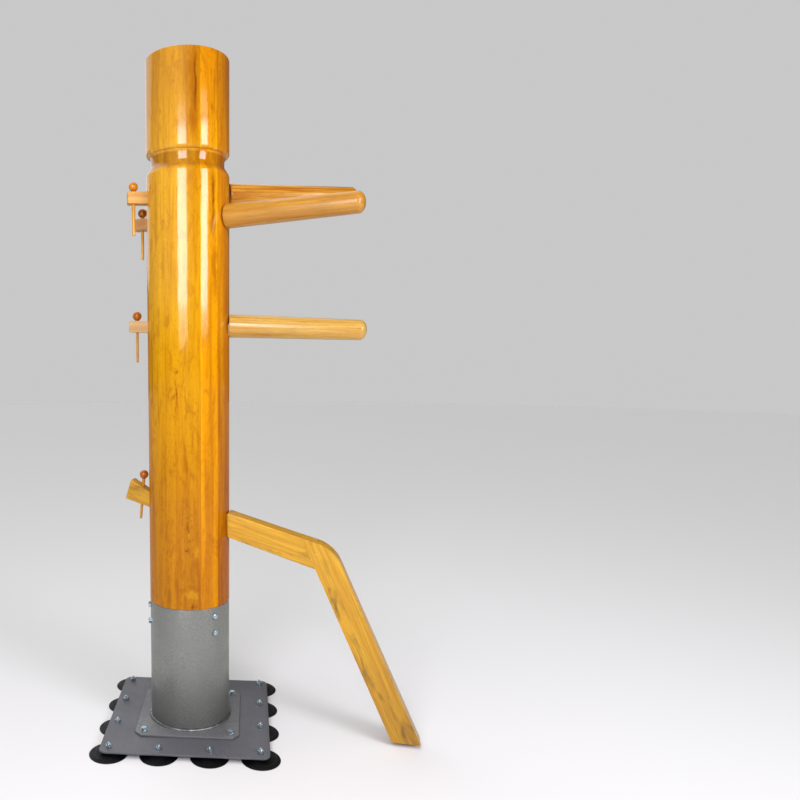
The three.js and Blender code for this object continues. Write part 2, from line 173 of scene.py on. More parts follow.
trunk_low, trunk_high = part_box("trunk")
TRUNK_RADIUS = (trunk_high.y - trunk_low.y) / 2 / MM
TRUNK_TOP = trunk_high.z / MM
trunk_axis = ground(middle("trunk"))
tube_low, tube_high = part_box("socket_tube")
TUBE_RADIUS = (tube_high.y - tube_low.y) / 2 / MM


# ---- Mesh code ----
def put(name, data):
    """Puts a new object into the scene."""
    made = bpy.data.objects.new(name, data)
    scene.collection.objects.link(made)
    return made


def piece(mesh, material, body, node, place, crease, seed=0, suffix="shown"):
    """Makes a shown piece, which stands for a CAD node, from a bmesh in place's frame.

    Its grain follows that frame, and seed moves it, so that like pieces differ. Edges that turn by more than
    crease degrees are shown sharp.
    """
    name = f"{node}_{suffix}"
    mesh.normal_update()
    data = bpy.data.meshes.new(name)
    mesh.to_mesh(data)
    mesh.free()
    data.shade_smooth()
    data.set_sharp_from_angle(angle=radians(crease))
    data.materials.append(material)
    shift = Vector((seed * GRAIN_STEP_X, seed * GRAIN_STEP_Y, 0))
    grain = data.attributes.new(GRAIN, "FLOAT_VECTOR", "POINT")
    grain.data.foreach_set("vector", [c for v in data.vertices for c in v.co + shift])
    data.transform(place)
    made = put(name, data)
    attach(made, body)
    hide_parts(node)


def arc(x, y, width, height, start, end, steps):
    """Points on an ellipse about (x, y), from one angle to another in degrees."""
    turns = [radians(start + (end - start) * i / steps) for i in range(steps + 1)]
    return [(x + width * cos(a), y + height * sin(a)) for a in turns]


def fillet(profile, steps=4):
    """Rounds the corners of an open profile. Its points are (x, y) or (x, y, radius)."""
    most = 0.49  # of a side's length that one rounding may take
    flat = [Vector(p[:2]) for p in profile]
    out = [tuple(flat[0])]
    for i in range(1, len(flat) - 1):
        here = flat[i]
        if len(profile[i]) == 2:
            out.append(tuple(here))
            continue
        radius = profile[i][2]
        before, after = flat[i - 1] - here, flat[i + 1] - here
        half = before.angle(after) / 2
        reach = min(radius / tan(half), most * before.length, most * after.length)
        start = here + before.normalized() * reach
        end = here + after.normalized() * reach
        for k in range(steps + 1):
            t = k / steps
            out.append(tuple(start.lerp(here, t).lerp(here.lerp(end, t), t)))
    out.append(tuple(flat[-1]))
    return out


def full_turn(steps):
    return [2 * pi * i / steps for i in range(steps)]


def bridge(mesh, lower, upper):
    """Fills between two rings. One of them may be a pole, which is one vertex repeated."""
    for i in range(len(lower)):
        j = (i + 1) % len(lower)
        face = list(dict.fromkeys((lower[i], lower[j], upper[j], upper[i])))
        if len(face) > 2:
            mesh.faces.new(face)


def lathe(profile, facets, closed=False):
    """Turns a profile of (radius, height), in millimetres, about Z. A point at radius 0 is a pole."""
    mesh = bmesh.new()
    rings = []
    for radius, height in profile:
        if radius == 0:
            rings.append([mesh.verts.new((0, 0, height * MM))] * facets)
            continue
        ring = [(radius * MM * cos(a), radius * MM * sin(a), height * MM) for a in full_turn(facets)]
        rings.append([mesh.verts.new(co) for co in ring])
    pairs = list(zip(rings, rings[1:] + rings[:1]))
    for lower, upper in pairs if closed else pairs[:-1]:
        bridge(mesh, lower, upper)
    bmesh.ops.recalc_face_normals(mesh, faces=mesh.faces)
    return mesh


def loft(rings, cap=True):
    """Joins rings with the same number of points, each a list of (x, y, z) in millimetres."""
    mesh = bmesh.new()
    made = [[mesh.verts.new(Vector(p) * MM) for p in ring] for ring in rings]
    for lower, upper in zip(made, made[1:]):
        bridge(mesh, lower, upper)
    if cap:
        mesh.faces.new(reversed(made[0]))
        mesh.faces.new(made[-1])
    bmesh.ops.recalc_face_normals(mesh, faces=mesh.faces)
    return mesh


def slab(outline, low, high, edge, steps=3):
    """A plate whose outline(inset) gives its ring of (x, y) points, with rounded edges."""
    rounding = [(edge - x, edge - y) for y, x in arc(0, 0, edge, edge, 0, 90, steps)]
    rings = [(inset, low + rise) for inset, rise in rounding]
    rings += [(inset, high - rise) for inset, rise in reversed(rounding)]
    return loft([[(x, y, z) for x, y in outline(inset)] for inset, z in rings])


def brick(low, high):
    """A block between two corners, in millimetres."""
    (x0, y0, z0), (x1, y1, z1) = low, high
    square = [(x0, y0), (x1, y0), (x1, y1), (x0, y1)]
    return loft([[(x, y, z) for x, y in square] for z in (z0, z1)])


def bevelled(mesh, width, pick):
    """Rounds the edges that pick chooses."""
    edges = [e for e in mesh.edges if pick(e)]
    settings = {"segments": 4, "profile": 0.5, "affect": "EDGES", "clamp_overlap": True}
    bmesh.ops.bevel(mesh, geom=edges, offset=width * MM, **settings)
    return mesh


def sharp(edge, degrees=30):
    """Whether an edge is an outer corner of at least this many degrees."""
    return len(edge.link_faces) == 2 and edge.calc_face_angle_signed(0) > radians(degrees)


def moved(mesh, matrix):
    bmesh.ops.transform(mesh, matrix=matrix, verts=mesh.verts)
    return mesh


def carved(mesh, *cutters):
    """mesh without the space that the cutters fill."""

    def held(bm, name):
        data = bpy.data.meshes.new(name)
        bm.to_mesh(data)
        bm.free()
        return put(name, data)

    whole = held(mesh, "whole")
    tools = [held(c, "cutter") for c in cutters]
    for tool in tools:
        step = whole.modifiers.new("cut", "BOOLEAN")
        step.operation, step.solver, step.object = "DIFFERENCE", "EXACT", tool
    bpy.context.view_layer.update()
    result = bmesh.new()
    result.from_object(whole, bpy.context.evaluated_depsgraph_get())
    bmesh.ops.remove_doubles(result, verts=result.verts, dist=0.002 * MM)
    for made in [whole, *tools]:
        data = made.data
        bpy.data.objects.remove(made)
        bpy.data.meshes.remove(data)
    return result


def added(mesh, other):
    """Puts a second closed body into mesh."""
    data = bpy.data.meshes.new("other")
    other.to_mesh(data)
    other.free()
    mesh.from_mesh(data)
    bpy.data.meshes.remove(data)
    return mesh


def hexagon_radius(turn):
    """Distance from a hexagon's middle to its side, at an angle in radians."""
    sector = (turn + pi / 6) % (pi / 3) - pi / 6
    return HEX_ACROSS_FLATS / 2 / cos(sector)


def hexagon(low, high, chamfer_low=True):
    """A hexagonal nut or head, its corners turned off above and, if asked, below."""
    face = HEX_FACE * HEX_ACROSS_FLATS / 2

    def ring(radius, height):
        return [(radius(a) * cos(a), radius(a) * sin(a), height(a)) for a in full_turn(72)]

    def drop(a):
        return (hexagon_radius(a) - face) * tan(radians(HEX_CHAMFER))

    if chamfer_low:
        foot = [ring(lambda a: face, lambda a: low), ring(hexagon_radius, lambda a: low + drop(a))]
    else:
        foot = [ring(hexagon_radius, lambda a: low)]
    return loft(foot + [ring(hexagon_radius, lambda a: high - drop(a)), ring(lambda a: face, lambda a: high)])


def thread(low, high):
    """A threaded rod with a chamfered upper end."""
    facets, rings_per_turn = 28, 6
    steps = int((high - low) / THREAD_PITCH * rings_per_turn)
    rings = []
    for k in range(steps + 1):
        z = low + (high - low) * k / steps
        ring = []
        for i in range(facets):
            share = i / facets
            wave = abs(((z / THREAD_PITCH - share) % 1) * 2 - 1)
            radius = min(BOLT_RADIUS - THREAD_DEPTH * wave, BOLT_RADIUS - THREAD_CHAMFER + (high - z))
            turn = 2 * pi * share
            ring.append((radius * cos(turn), radius * sin(turn), z))
        rings.append(ring)
    return loft(rings)


def rod(low, high):
    """The plain part of a bolt or stud."""
    return lathe([(0, low), (BOLT_RADIUS, low), (BOLT_RADIUS, high), (0, high)], 24)


# ---- Materials ----
def srgb(*channels):
    """A linear colour from sRGB channels of 0 to 255."""
    shares = [c / 255 for c in channels]
    linear = [s / 12.92 if s <= 0.04045 else ((s + 0.055) / 1.055) ** 2.4 for s in shares]
    return (*linear, 1)


class Shader:
    """Builds one procedural material around a Principled shader."""

    def __init__(self, name):
        self.material = bpy.data.materials.new(name)
        self.material.use_nodes = True
        self.tree = self.material.node_tree
        self.tree.nodes.clear()
        self.shader = self.add("ShaderNodeBsdfPrincipled", {})
        self.add("ShaderNodeOutputMaterial", {"Surface": self.shader.outputs[0]})
        self.place = self.add("ShaderNodeAttribute", {}, attribute_name=GRAIN).outputs["Vector"]

    def add(self, kind, inputs, **settings):
        """A new node, with its settings and with values or links for its sockets, by number or name."""
        node = self.tree.nodes.new(kind)
        for key, value in settings.items():
            setattr(node, key, value)
        for key, value in inputs.items():
            self.feed(node.inputs[key], value)
        return node

    def feed(self, socket, value):
        if isinstance(value, bpy.types.NodeSocket):
            self.tree.links.new(value, socket)
        else:
            socket.default_value = value

    def set(self, **values):
        """Feeds the shader's own sockets, named with underscores for spaces."""
        for name, value in values.items():
            self.feed(self.shader.inputs[name.replace("_", " ")], value)

    def math(self, operation, a, b=0):
        return self.add("ShaderNodeMath", {0: a, 1: b}, operation=operation).outputs[0]

    def plus(self, a, b):
        return self.math("ADD", a, b)

    def minus(self, a, b):
        return self.math("SUBTRACT", a, b)

    def over(self, a, b):
        return self.math("DIVIDE", a, b)

    def times(self, first, *factors):
        for factor in factors:
            first = self.math("MULTIPLY", first, factor)
        return first

    def greatest(self, first, *others):
        for other in others:
            first = self.math("MAXIMUM", first, other)
        return first

    def vector(self, operation, a, b):
        return self.add("ShaderNodeVectorMath", {0: a, 1: b}, operation=operation).outputs[0]

    def split(self, vector):
        return self.add("ShaderNodeSeparateXYZ", {0: vector}).outputs

    def join(self, x, y, z):
        return self.add("ShaderNodeCombineXYZ", {0: x, 1: y, 2: z}).outputs[0]

    def mix(self, share, a, b, blend="MIX"):
        inputs = {0: share, 6: a, 7: b}  # its sockets for colours
        return self.add("ShaderNodeMix", inputs, data_type="RGBA", blend_type=blend).outputs[2]

    def stained(self, color, *layers):
        """color under layers of (share, red, green, blue), whose colours are sRGB."""
        for share, *tone in layers:
            color = self.mix(share, color, srgb(*tone))
        return color

    def darken(self, color, share, *factors):
        """color with its channels multiplied by factors where share is 1."""
        return self.mix(share, color, (*factors, 1), "MULTIPLY")

    def noise(self, vector, scale, detail=2, roughness=0.5, distortion=0):
        inputs = {"Scale": scale, "Detail": detail, "Roughness": roughness, "Distortion": distortion}
        return self.add("ShaderNodeTexNoise", {"Vector": vector, **inputs}).outputs[0]

    def grained(self, scale, detail, roughness=0.5, distortion=0, shift=(0, 0, 0)):
        """Noise with scale (x, y, z) features to the metre along the piece's own axes."""
        stretched = self.vector("MULTIPLY", self.place, scale)
        return self.noise(self.vector("ADD", stretched, shift), 1, detail, roughness, distortion)

    def wobble(self, vector, scale, reach):
        """A smooth random displacement of up to about reach millimetres."""
        tones = self.add("ShaderNodeTexNoise", {"Vector": vector, "Scale": scale}).outputs["Color"]
        about_zero = self.vector("SUBTRACT", tones, (0.5, 0.5, 0.5))
        return self.vector("MULTIPLY", about_zero, (4 * reach * MM,) * 3)

    def random(self, vector):
        node = self.add("ShaderNodeTexWhiteNoise", {"Vector": vector}, noise_dimensions="3D")
        return node.outputs["Value"], node.outputs["Color"]

    def step(self, value, low, high, first=0, last=1):
        """Goes smoothly from first to last while value goes from low to high."""
        inputs = {0: value, 1: low, 2: high, 3: first, 4: last}
        return self.add("ShaderNodeMapRange", inputs, interpolation_type="SMOOTHSTEP").outputs[0]

    def ramp(self, value, *stops, interpolation="LINEAR"):
        """A colour ramp from stops of (position, red, green, blue)."""
        node = self.add("ShaderNodeValToRGB", {0: value})
        band = node.color_ramp
        band.interpolation = interpolation
        while len(band.elements) < len(stops):
            band.elements.new(0.5)
        for element, (position, *tone) in zip(band.elements, stops):
            element.position, element.color = position, srgb(*tone)
        return node.outputs[0]

    def bump(self, height, distance):
        inputs = {"Height": height, "Distance": distance, "Strength": 1}
        return self.add("ShaderNodeBump", inputs).outputs[0]

    def mark(self, place, centre, size):
        """1 at centre and 0 beyond size from it, both (x, y, z) in millimetres. place may be distorted."""
        away = self.vector("SUBTRACT", place, tuple(c * MM for c in centre))
        share = self.vector("DIVIDE", away, tuple(length * MM for length in size))
        length = self.add("ShaderNodeVectorMath", {0: share}, operation="LENGTH")
        return self.step(length.outputs["Value"], 0, 1, 1, 0)


# Marks on the trunk, each with its centre and size in millimetres. The grain place's X runs across the front,
# which is at about Y -100, and Z is the height.
KNOTS = (
    ((-31, -97, 912), (10, 25, 12)),
    ((-31, -97, 860), (3.2, 25, 22)),
    ((9, -101, 338), (11, 25, 13)),
    ((-5, -101, 533), (7, 25, 14)),
    ((-2, -101, 505), (5, 25, 9)),
    ((-6, -101, 478), (7, 25, 9)),
    ((40, 94, 760), (12, 25, 17)),
    ((-62, 80, 1180), (9, 25, 12)),
    ((88, 52, 620), (25, 10, 15)),
)
BURLS = (
    ((6, -101, 368), (30, 25, 15)),
    ((17, -101, 474), (11, 25, 22)),
    ((-2, -101, 517), (6, 25, 7)),
    ((-44, -92, 857), (7, 25, 9)),
    ((40, 94, 790), (20, 25, 22)),
)
# Streaks on its front: X, half width, lowest and highest point, and the length over which the ends fade
SHADOW_STREAKS = ((12, 15, 1440, 1665, 50), (58, 10, 1190, 1400, 60), (62, 9, 1060, 1250, 70))
DARK_STREAKS = ((19, 3.8, 1500, 1656, 30), (60, 4, 1240, 1385, 50))
BROWN_STREAKS = ((-30, 4.2, 812, 905, 24), (-33, 3, 770, 850, 30), (-6, 3, 620, 720, 40))
FLECKED_STREAK = (-1, 26, 420, 640, 90)


def trunk_wood():
    """Amber varnished wood glued up from rectangular staves, its grain along Z."""
    s = Shader("varnished_trunk_wood")
    u, v, w = s.split(s.place)
    # staves: those at the front have tones of their own, the others random ones
    across = s.over(s.minus(u, STAVE_JOINT * MM), STAVE_WIDTH * MM)
    deep = s.plus(s.over(v, STAVE_DEPTH * MM), 0.5)
    tone, shift = s.random(s.join(s.math("FLOOR", across), s.math("FLOOR", deep), 3))
    edge_u, edge_v = (s.math("ABSOLUTE", s.minus(s.math("FRACT", number), 0.5)) for number in (across, deep))
    seam = s.step(s.greatest(edge_u, edge_v), 0.47, 0.5)
    hidden = s.ramp(tone, (0, 204, 140, 6), (0.35, 214, 152, 10), (0.7, 194, 124, 4), (1, 220, 148, 4))
    joints = [0.5 + (STAVE_JOINT + STAVE_WIDTH * k) / STAVE_SPAN for k in (-1, 0, 1, 2)]
    shown = s.ramp(
        s.plus(s.over(u, STAVE_SPAN * MM), 0.5),
        (0, 208, 148, 10),
        (joints[0], 210, 152, 14),
        (joints[1], 201, 141, 8),
        (joints[2], 224, 150, 2),
        (joints[3], 196, 116, 2),
        interpolation="CONSTANT",
    )
    color = s.mix(s.math("LESS_THAN", v, -STAVE_DEPTH / 2 * MM), hidden, shown)
    # knots and burls, with ragged edges
    ragged = s.vector("ADD", s.place, s.wobble(s.place, 110, 6))
    ragged = s.vector("ADD", ragged, s.wobble(s.place, 420, 3))
    knotted = s.greatest(*[s.mark(ragged, *knot) for knot in KNOTS])
    burled = s.greatest(*[s.mark(ragged, *burl) for burl in BURLS])
    # growth rings: sheets along the stave, bent by slow noise and round the knots
    offset = s.vector("MULTIPLY", shift, (3, 5, 2))
    slow = s.grained((9, 9, 0.6), 3, 0.55, 0.6, offset)
    lean = s.plus(s.times(u, 0.6), s.times(v, 0.8))
    phase = s.plus(s.plus(s.over(lean, 13 * MM), s.times(slow, 9)), s.times(knotted, 1.5))
    ring = s.math("FRACT", phase)
    late = s.times(s.step(ring, 0.1, 0.75), s.step(ring, 0.8, 1, 1, 0))
    fibre = s.grained((380, 380, 16), 3, 0.6, shift=offset)
    streaks = s.grained((75, 75, 4.5), 4, 0.55, 0.6, offset)
    curl = s.grained((150, 150, 60), 3, 0.6, 1.2, offset)
    bands = s.grained((24, 24, 0.9), 2, 0.5, 0.5, offset)
    mottle = s.grained((34, 34, 14), 4, 0.65, 1.2, (4, 1, 7))
    pores = s.step(s.grained((900, 900, 30), 1, shift=offset), 0.66, 0.78)
    color = s.stained(
        color,
        (s.step(bands, 0.52, 0.3, 0, 0.5), 226, 170, 18),
        (s.step(bands, 0.5, 0.72, 0, 0.6), 170, 100, 4),
        (s.times(late, 0.14), 160, 92, 3),
        (s.step(streaks, 0.5, 0.72, 0, 0.5), 150, 82, 3),
        (s.step(streaks, 0.46, 0.25, 0, 0.35), 232, 178, 26),
        (s.step(mottle, 0.5, 0.7, 0, 0.5), 166, 98, 6),
        (s.step(curl, 0.5, 0.74, 0, 0.4), 150, 86, 5),
        (s.step(fibre, 0.45, 0.78, 0, 0.2), 140, 76, 8),
        (s.times(pores, 0.22), 96, 52, 10),
        (s.times(seam, 0.16), 120, 70, 14),
    )
    # darker towards its foot, less so on the brightest stave and more on the one beyond it, and a little at
    # its head: painted shade where the light falls off, at the foot partly also the wood's own deeper orange
    # brown
    left, right = (STAVE_JOINT + STAVE_WIDTH) * MM, (STAVE_JOINT + 2 * STAVE_WIDTH) * MM
    brightest = s.times(s.step(u, left - MM, left + MM), s.step(u, right + MM, right - MM, 0, 0.6))
    outer = s.step(u, right - MM, right + MM)
    color = s.darken(color, s.times(s.step(w, 1.12, 0.40), s.minus(1, brightest)), 0.79, 0.63, 0.5)
    color = s.darken(color, s.times(outer, s.step(w, 1.15, 0.85, 0, 0.24)), 0.5, 0.4, 0.25)
    color = s.darken(color, s.step(w, 1.40, 1.60), 0.77, 0.68, 0.64)
    # the staves facing the dummy's right are paler above its waist: partly paler wood, partly a painted sheen
    # of the varnish where the left strip's highlight falls
    pale = s.times(s.step(u, 25 * MM, -15 * MM), s.step(w, 0.95, 1.15, 0, 0.15))
    color = s.stained(color, (pale, 230, 184, 96))
    # painted shade: the turned neck under the head is darkened
    groove_shade = s.times(s.step(w, (SHOULDER - 2) * MM, (NECK - 8) * MM), s.step(w, LIP * MM, (LIP - 8) * MM))
    color = s.darken(color, groove_shade, 0.66, 0.58, 0.54)
    # dark heart streak on the head, and streaks and cracks down the front
    wander = s.times(s.minus(s.grained((0, 0, 16), 4), 0.5), 16 * MM)
    front = s.step(v, 20 * MM, -20 * MM)

    def streak(reach, width, low, high, fade, raggedness=2.4):
        away = s.math("ABSOLUTE", s.minus(s.minus(u, wander), reach * MM))
        broken = s.grained((60, 60, 26), 3, 0.6, shift=(reach, low, 2))
        away = s.plus(away, s.times(s.minus(broken, 0.5), raggedness * width * MM))
        start = s.step(w, low * MM, (low + fade) * MM)
        stop = s.step(w, high * MM, (high - fade) * MM)
        return s.times(s.step(away, width * MM, 0), front, start, stop)

    groups = SHADOW_STREAKS, DARK_STREAKS, BROWN_STREAKS
    shadow, dark, brown = (s.greatest(*[streak(*one) for one in group]) for group in groups)
    color = s.stained(
        color,
        (s.times(shadow, 0.65), 150, 82, 3),
        (s.times(dark, 0.85), 100, 52, 5),
        (s.times(brown, 0.7), 158, 84, 4),
    )
    # the stave with the small knots is flecked low down
    flecks = s.step(s.noise(s.place, 230, 2, 0.6), 0.54, 0.68)
    color = s.stained(
        color,
        (s.times(streak(*FLECKED_STREAK, raggedness=0.9), flecks, 0.6), 120, 64, 6),
        (s.step(burled, 0, 0.8, 0, 0.45), 206, 150, 22),
        (s.step(knotted, 0.05, 0.6, 0, 0.45), 146, 82, 8),
        (s.step(knotted, 0.4, 0.9, 0, 0.65), 92, 46, 6),
    )
    relief = s.minus(s.plus(s.times(fibre, 0.5), s.times(late, 0.3)), s.times(dark, 0.6))
    s.set(
        Base_Color=color,
        Roughness=s.step(streaks, 0.3, 0.7, 0.36, 0.5),
        Normal=s.bump(relief, 0.00035),
        Specular_IOR_Level=0,
        Coat_Weight=s.step(w, 1.12, 0.82, 1, 0.42),
        Coat_IOR=1.43,
        Coat_Roughness=0.1,
        Coat_Normal=s.bump(s.grained((16, 16, 5), 2, shift=(8, 3, 1)), 0.0014),
    )
    return s.material


def limb_wood(name, tones, ring_gap, seed, blotch, gloss=0.3, figure=7, darker_span=None):
    """Pale wood under a satin varnish, its grain along X and bent by figure.

    tones runs from light to dark. ring_gap is in millimetres. darker_span gives two distances along the wood,
    in millimetres, between which it greys and darkens.
    """
    light, mid, deep, pore = tones
    s = Shader(name)
    shift = (seed * 1.7, seed * 0.9, seed * 2.3)
    u, v, w = s.split(s.place)
    slow = s.grained((1.3, 14, 14), 3, 0.5, 0.5, shift)
    lean = s.plus(s.times(v, 0.9), s.times(w, 0.45))
    ring = s.math("FRACT", s.plus(s.over(lean, ring_gap * MM), s.times(slow, figure)))
    late = s.times(s.step(ring, 0.3, 0.9), s.step(ring, 0.92, 1, 1, 0))
    fibre = s.grained((10, 520, 520), 3, 0.6, shift=shift)
    bands = s.grained((4, 110, 110), 4, 0.6, shift=shift)
    patches = s.grained((9, 26, 26), 3, 0.6, 0.7, shift)
    pores = s.step(s.grained((36, 1100, 1100), 1, shift=shift), 0.62, 0.74)
    color = s.mix(s.step(bands, 0.3, 0.7), light, mid)
    color = s.mix(s.times(late, 0.2), color, deep)
    color = s.mix(s.step(fibre, 0.42, 0.72, 0, 0.34), color, deep)
    color = s.mix(s.step(patches, 0.52, 0.74, 0, blotch), color, pore)
    color = s.mix(s.times(pores, s.plus(s.times(late, 0.5), 0.3)), color, pore)
    # greyer and darker further along the wood; on the shin, towards its foot
    if darker_span:
        color = s.darken(color, s.step(u, darker_span[0] * MM, darker_span[1] * MM), 0.76, 0.72, 0.74)
    s.set(
        Base_Color=color,
        Roughness=s.step(fibre, 0.3, 0.8, gloss + 0.1, gloss + 0.24),
        Normal=s.bump(s.minus(s.times(fibre, 0.6), s.times(late, 0.4)), 0.0003),
        Specular_IOR_Level=0.2,
        Coat_Weight=0.8,
        Coat_Roughness=gloss,
    )
    return s.material


def raw_wood(name, light, dark):
    """Bare sawn wood of the tenons: pale, dry and finely grained along X."""
    s = Shader(name)
    fibre = s.grained((14, 420, 420), 3, 0.65)
    bands = s.grained((4, 70, 70), 3)
    speckle = s.noise(s.place, 900, 2, 0.6)
    color = s.mix(s.step(bands, 0.3, 0.72), srgb(*light), srgb(*dark))
    color = s.stained(
        color,
        (s.step(fibre, 0.4, 0.8, 0, 0.4), *dark),
        (s.step(speckle, 0.55, 0.75, 0, 0.3), 146, 94, 46),
    )
    s.set(Base_Color=color, Roughness=s.step(fibre, 0.3, 0.8, 0.5, 0.72), Normal=s.bump(fibre, 0.0004))
    return s.material


def peg_wood(name, light, dark):
    """Varnished wood turned about Z, paler along the shaft than on the ball, whose foot is at 0."""
    s = Shader(name)
    grain = s.grained((320, 320, 26), 3, 0.6)
    rings = s.grained((130, 130, 10), 2, 0.5, 0.6)
    ball = s.mix(s.step(rings, 0.35, 0.65), srgb(*light), srgb(*dark))
    ball = s.stained(ball, (s.step(grain, 0.5, 0.75, 0, 0.5), 92, 44, 4))
    shaft = s.mix(s.step(grain, 0.4, 0.7, 0, 0.5), srgb(206, 150, 48), srgb(178, 114, 26))
    _, _, w = s.split(s.place)
    s.set(
        Base_Color=s.mix(s.step(w, -MM, MM), shaft, ball),
        Roughness=s.step(grain, 0.3, 0.7, 0.28, 0.4),
        Normal=s.bump(grain, 0.0002),
        Specular_IOR_Level=0.1,
        Coat_Weight=0.8,
        Coat_Roughness=0.14,
    )
    return s.material


def paint(name, base, dark, light, metallic, roughness, speckle, seed):
    """Grey metallic enamel on steel, mottled by its flakes, with fine scuffs."""
    s = Shader(name)
    flakes = s.noise(s.vector("ADD", s.place, (seed, 0, 0)), speckle, 3, 0.7)
    fine = s.noise(s.place, speckle * 3.5, 2, 0.6)
    cloud = s.noise(s.vector("ADD", s.place, (0, seed, 0)), 14, 4, 0.6, 0.4)
    scuffs = s.grained((30, 240, 60), 4, 0.7, 1.2, (seed, seed, 2))
    color = s.mix(s.step(flakes, 0.35, 0.65), srgb(*dark), srgb(*light))
    color = s.stained(
        color,
        (s.step(cloud, 0.35, 0.68, 0.25, 0.75), *base),
        (s.step(scuffs, 0.68, 0.78, 0, 0.35), 186, 184, 184),
    )
    s.set(
        Base_Color=color,
        Metallic=metallic,
        Roughness=s.step(cloud, 0.3, 0.7, roughness - 0.05, roughness + 0.09),
        Normal=s.bump(s.plus(flakes, s.times(fine, 0.4)), 0.00022),
    )
    return s.material


def metal(name, bright, dull, roughness, scale):
    """Plated or bare steel with fine marks and duller patches."""
    s = Shader(name)
    patches = s.noise(s.place, scale, 3, 0.6, 0.5)
    marks = s.noise(s.vector("MULTIPLY", s.place, (1, 1, 6)), scale * 8, 2, 0.6)
    color = s.mix(s.step(patches, 0.35, 0.7), srgb(*bright), srgb(*dull))
    color = s.stained(color, (s.step(marks, 0.55, 0.8, 0, 0.35), 96, 98, 100))
    s.set(
        Base_Color=color,
        Metallic=0.95,
        Roughness=s.step(patches, 0.3, 0.7, roughness - 0.06, roughness + 0.12),
        Normal=s.bump(marks, 0.00012),
    )
    return s.material


def rubber():
    """Matte black moulded rubber with a dusty bloom."""
    s = Shader("cup_rubber")
    dust = s.noise(s.place, 70, 4, 0.65)
    grit = s.noise(s.place, 1400, 2, 0.6)
    s.set(
        Base_Color=s.mix(s.step(dust, 0.5, 0.8, 0, 0.4), srgb(4, 5, 6), srgb(22, 22, 24)),
        Roughness=s.step(dust, 0.3, 0.75, 0.36, 0.6),
        Normal=s.bump(grit, 0.00015),
        Specular_IOR_Level=0.2,
    )
    return s.material


ASH = (srgb(208, 169, 82), srgb(189, 141, 56), srgb(150, 92, 18), srgb(102, 60, 12))
OAK = (srgb(214, 163, 26), srgb(196, 141, 15), srgb(144, 90, 8), srgb(94, 70, 18))
NEAR_ASH = (srgb(198, 146, 52), srgb(174, 118, 36), *ASH[2:])
FAR_ASH = (srgb(206, 152, 52), srgb(156, 88, 10), *ASH[2:])
TRUNK_WOOD = trunk_wood()
ARM_WOODS = {
    "upper_right": limb_wood("near_arm_wood", NEAR_ASH, ring_gap=7, seed=1, blotch=0.2),
    "upper_left": limb_wood("far_arm_wood", FAR_ASH, ring_gap=9, seed=5, blotch=0.4, gloss=0.14),
    "middle": limb_wood("middle_arm_wood", ASH, ring_gap=8, seed=9, blotch=0.2, gloss=0.24),
}
LEG_WOOD = limb_wood("leg_wood", OAK, ring_gap=9, seed=3, blotch=0.65, gloss=0.34, figure=12)
SHIN_WOOD = limb_wood(
    "shin_wood", OAK, ring_gap=13, seed=7, blotch=0.8, gloss=0.36, figure=13, darker_span=(120, 430)
)
TENON_WOODS = {
    "upper_right": raw_wood("near_tenon_wood", (196, 150, 96), (170, 114, 60)),
    "upper_left": raw_wood("far_tenon_wood", (206, 158, 78), (182, 124, 52)),
    "middle": raw_wood("middle_tenon_wood", (208, 178, 124), (188, 142, 86)),
}
DOWEL_WOOD = raw_wood("dowel_end_wood", (222, 182, 104), (204, 150, 66))
PEG_WOODS = {
    "upper_right": peg_wood("near_peg_wood", (176, 104, 6), (138, 74, 3)),
    "upper_left": peg_wood("far_peg_wood", (218, 140, 4), (190, 108, 2)),
    "middle": peg_wood("middle_peg_wood", (192, 108, 6), (160, 80, 3)),
    "leg": peg_wood("leg_peg_wood", (184, 100, 6), (146, 72, 3)),
}
TUBE_PAINT = paint(
    "socket_paint", (127, 129, 124), (111, 113, 108), (146, 148, 143),
    metallic=0.4, roughness=0.38, speckle=380, seed=1,
)
PLATE_PAINT = paint(
    "plate_paint", (94, 94, 99), (82, 82, 87), (105, 105, 111),
    metallic=0.3, roughness=0.46, speckle=420, seed=4,
)
FLANGE_PAINT = paint(
    "flange_paint", (107, 108, 110), (90, 91, 93), (127, 128, 129),
    metallic=0.3, roughness=0.44, speckle=300, seed=7,
)
WELD = metal("weld_steel", (152, 153, 153), (106, 107, 108), roughness=0.42, scale=90)
ZINC = metal("zinc_plate", (196, 214, 222), (146, 166, 176), roughness=0.28, scale=160)
RUBBER = rubber()

# ---- Trunk ----
# The trunk's own -Y, where its front staves are, faces the dummy's right side, a little forward.
GRAIN_TURN = radians(8.4)
trunk_place = turned(trunk_axis, GRAIN_TURN)


def trunk_profile():
    shoulder = tube_high.z / MM + SEAT
    bottom = trunk_low.z / MM
    lip_rounding = TRUNK_RADIUS - LIP_RADIUS
    cove = arc(LIP_RADIUS, NECK, LIP_RADIUS - NECK_RADIUS, LIP - NECK, 180, 90, 14)
    lip = arc(LIP_RADIUS, LIP + lip_rounding, lip_rounding, lip_rounding, -82, 0, 10)
    head = arc(TRUNK_RADIUS - HEAD_EDGE, TRUNK_TOP - HEAD_EDGE, HEAD_EDGE, HEAD_EDGE, 0, 90, 8)
    body = [
        (0, bottom),
        (SPIGOT_RADIUS - SPIGOT_CHAMFER, bottom),
        (SPIGOT_RADIUS, bottom + SPIGOT_CHAMFER),
        (SPIGOT_RADIUS, shoulder),
        (TRUNK_RADIUS, shoulder, 1.2),
        (TRUNK_RADIUS, SHOULDER, 2.5),
        (TRUNK_RADIUS - 1.5, SHOULDER + 4, 6),
        (NECK_RADIUS + 2, NECK - 4, 5),
        (NECK_RADIUS, NECK),
    ]
    return fillet(body)[:-1] + cove + lip + head + [(0, TRUNK_TOP)]


